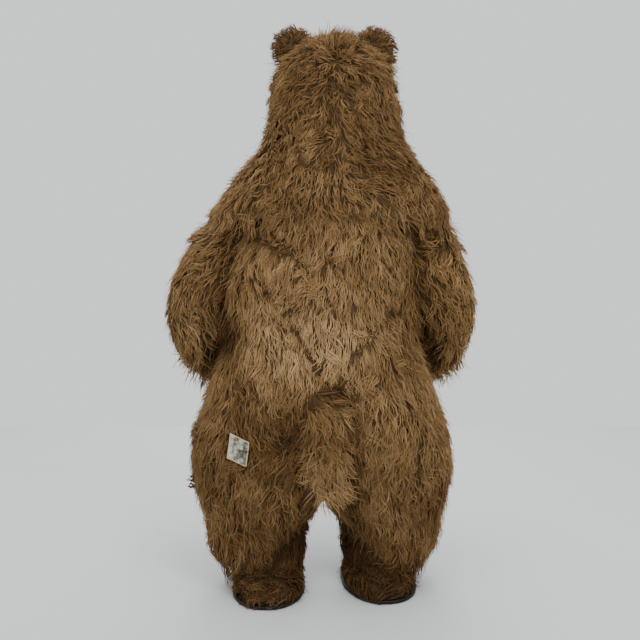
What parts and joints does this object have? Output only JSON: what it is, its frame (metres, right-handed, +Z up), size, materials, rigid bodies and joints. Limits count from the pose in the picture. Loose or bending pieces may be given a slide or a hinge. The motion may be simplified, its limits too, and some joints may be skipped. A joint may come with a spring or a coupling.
{
  "type": "bear mascot costume",
  "caption": "Hollow worn costume of a plain brown bear in long pile fur: head with shoulder cape, body with sleeves and legs, paws, feet and tail.",
  "frame": {"origin": "where the costume rests on the wearer's shoulders, at the base of the neck on the wearer's own centre line, 1.43 m above the underside of the soles", "axes": "+Z up, -Y the way the bear faces, +X to the bear's left"},
  "size_m": [1.1078, 0.8078, 1.982],
  "materials": {
    "brown_pile": "long shaggy pile, matt",
    "black_rubber": "matt",
    "black_gloss": "gloss",
    "clear_film": "creased, clear and shiny"
  },
  "bodies": {
    "root": {"body_back_left": "brown_pile", "body_back_right": "brown_pile", "body_front_left": "brown_pile", "body_front_right": "brown_pile", "leg_back_left": "brown_pile", "leg_back_right": "brown_pile", "leg_front_left": "brown_pile", "leg_front_right": "brown_pile", "sleeve_outer_left": "brown_pile", "sleeve_outer_right": "brown_pile", "sleeve_inner_left": "brown_pile", "sleeve_inner_right": "brown_pile", "paw_back_left": "brown_pile", "paw_back_right": "brown_pile", "paw_palm_left": "brown_pile", "paw_palm_right": "brown_pile", "foot_upper_left": "brown_pile", "foot_upper_right": "brown_pile", "sole_left": "black_rubber", "sole_right": "black_rubber", "head_back_left": "brown_pile", "head_back_right": "brown_pile", "head_front_left": "brown_pile", "head_front_right": "brown_pile", "crown": "brown_pile", "muzzle_upper": "brown_pile", "muzzle_lower": "brown_pile", "nose": "black_gloss", "eye_left": "black_gloss", "eye_right": "black_gloss", "ear_back_left": "brown_pile", "ear_back_right": "brown_pile", "ear_front_left": "brown_pile", "ear_front_right": "brown_pile", "tail": "brown_pile", "hip_label": "clear_film"}
  },
  "joints": []
}
